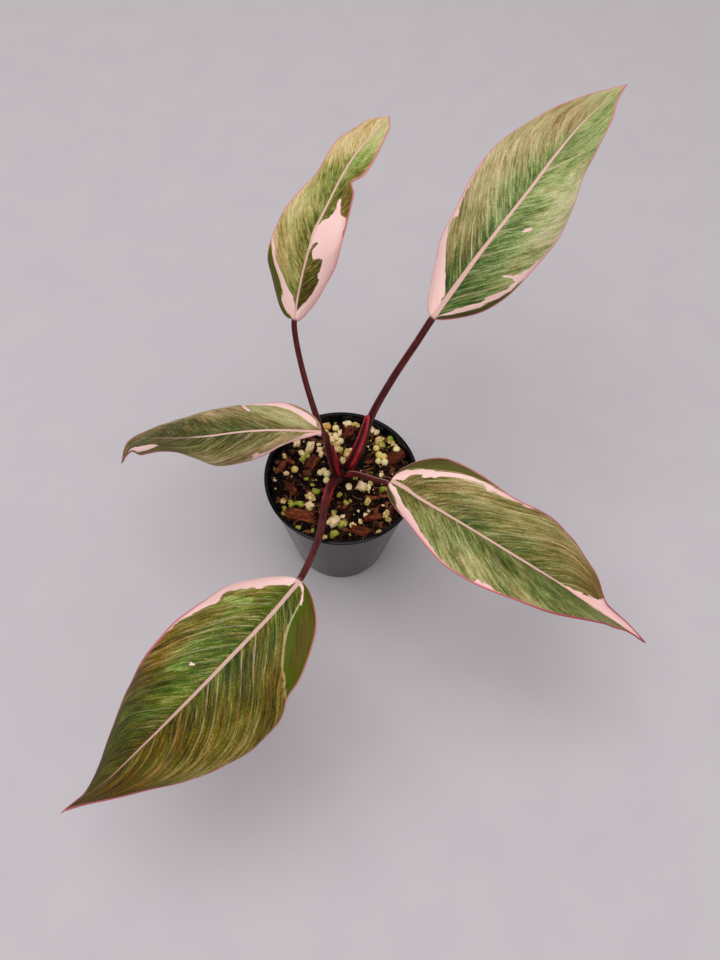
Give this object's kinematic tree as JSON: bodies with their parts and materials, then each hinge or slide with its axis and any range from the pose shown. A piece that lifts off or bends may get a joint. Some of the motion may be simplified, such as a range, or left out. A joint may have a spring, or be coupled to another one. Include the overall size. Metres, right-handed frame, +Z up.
{
  "type": "potted pink princess philodendron",
  "caption": "young marbled philodendron with pink, cream and green drip-tipped leaves on long maroon stalks, rooted in bark mix in a small round black nursery pot",
  "frame": {"origin": "middle of the flat underside of the pot, on the surface that it stands on", "axes": "+Z up, the way the plant grows; +Y towards the two tall leaves at the back, -Y towards the broad front leaf, +X to the right of someone who looks along +Y"},
  "size_m": [0.2569, 0.3018, 0.1924],
  "materials": {
    "pot": "smooth moulded black, soft gloss",
    "mix": "damp bark mix with perlite and feed prills",
    "stem": "satin",
    "stalk": "satin",
    "sheath": "satin",
    "leaf": "waxy satin, marbled green, cream and pink"
  },
  "bodies": {
    "root": {"pot": "pot", "soil": "mix", "stem": "stem", "stalk_1": "stalk", "stalk_2": "stalk", "stalk_3": "stalk", "stalk_4": "stalk", "stalk_5": "stalk", "bud_sheath": "sheath", "leaf_1": "leaf", "leaf_2": "leaf", "leaf_3": "leaf", "leaf_4": "leaf", "leaf_5": "leaf"}
  },
  "joints": []
}
